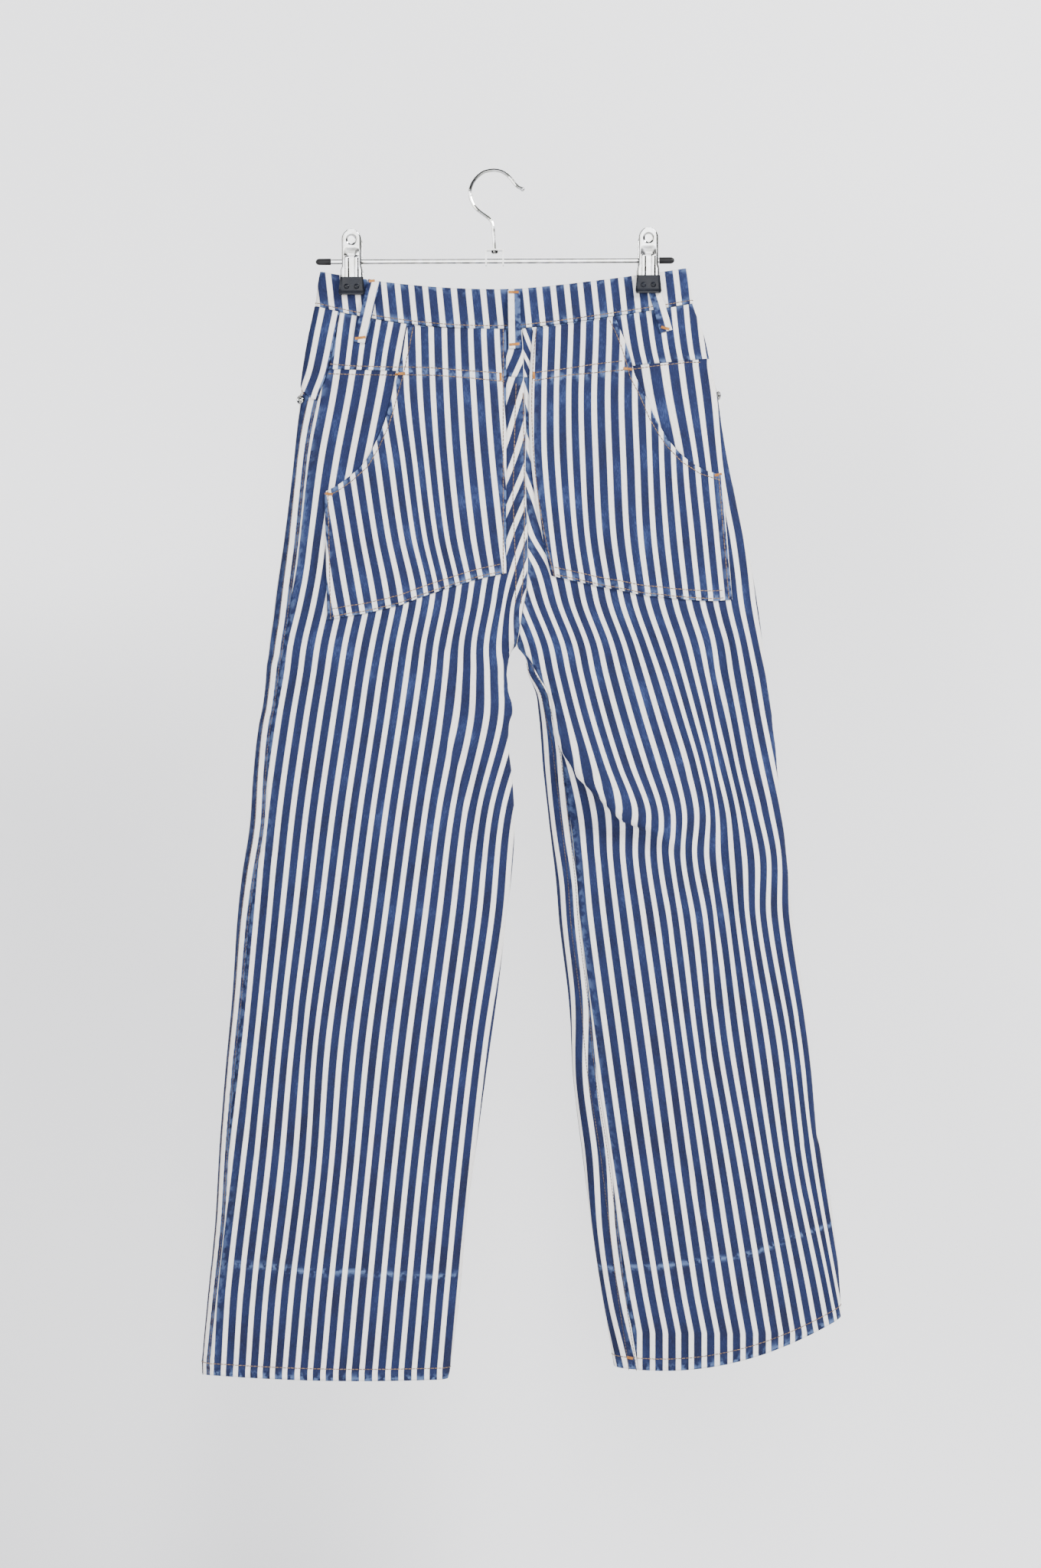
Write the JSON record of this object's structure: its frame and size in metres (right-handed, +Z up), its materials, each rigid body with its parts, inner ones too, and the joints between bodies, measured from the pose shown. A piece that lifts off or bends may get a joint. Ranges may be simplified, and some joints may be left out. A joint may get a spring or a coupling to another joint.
{
  "type": "jeans on a clip hanger",
  "caption": "Wide straight-leg striped jeans with curved patch pockets, hung flat by the waistband from a metal clip hanger.",
  "frame": {"origin": "inside of the crown of the hanger's hook, where it bears on a rail", "axes": "+Z up along the hook's stem, the back of the jeans faces -Y, the wearer's left leg is at -X"},
  "size_m": [0.59, 0.0525, 1.1167],
  "materials": {
    "striped_denim": "cream and indigo striped cotton denim, washed",
    "dull_nickel": "dull nickel",
    "bright_zinc": "bright plated steel",
    "smoky_vinyl": "soft smoky vinyl",
    "black_rubber": "matt black rubber"
  },
  "bodies": {
    "root": {"waistband": "striped_denim", "back_yoke_left": "striped_denim", "back_yoke_right": "striped_denim", "back_panel_left": "striped_denim", "back_panel_right": "striped_denim", "front_panel_left": "striped_denim", "front_panel_right": "striped_denim", "pocket_facing_left": "striped_denim", "pocket_facing_right": "striped_denim", "patch_pocket_left": "striped_denim", "patch_pocket_right": "striped_denim", "belt_loop_back_left": "striped_denim", "belt_loop_back_centre": "striped_denim", "belt_loop_back_right": "striped_denim", "belt_loop_front_left": "striped_denim", "belt_loop_front_right": "striped_denim", "rivet_left_side": "dull_nickel", "rivet_right_side": "dull_nickel", "rivet_left_waist": "dull_nickel", "rivet_right_waist": "dull_nickel", "waist_button": "dull_nickel", "hanger_bar": "bright_zinc", "hanger_hook": "bright_zinc", "hanger_saddle": "bright_zinc", "swivel_rivet": "bright_zinc", "hanger_cap_left": "black_rubber", "hanger_cap_right": "black_rubber", "clip_plate_left_back": "bright_zinc", "clip_plate_left_front": "bright_zinc", "clip_plate_right_back": "bright_zinc", "clip_plate_right_front": "bright_zinc", "clip_spring_left": "bright_zinc", "clip_spring_right": "bright_zinc", "clip_tip_left_back": "smoky_vinyl", "clip_tip_left_front": "smoky_vinyl", "clip_tip_right_back": "smoky_vinyl", "clip_tip_right_front": "smoky_vinyl"}
  },
  "joints": []
}
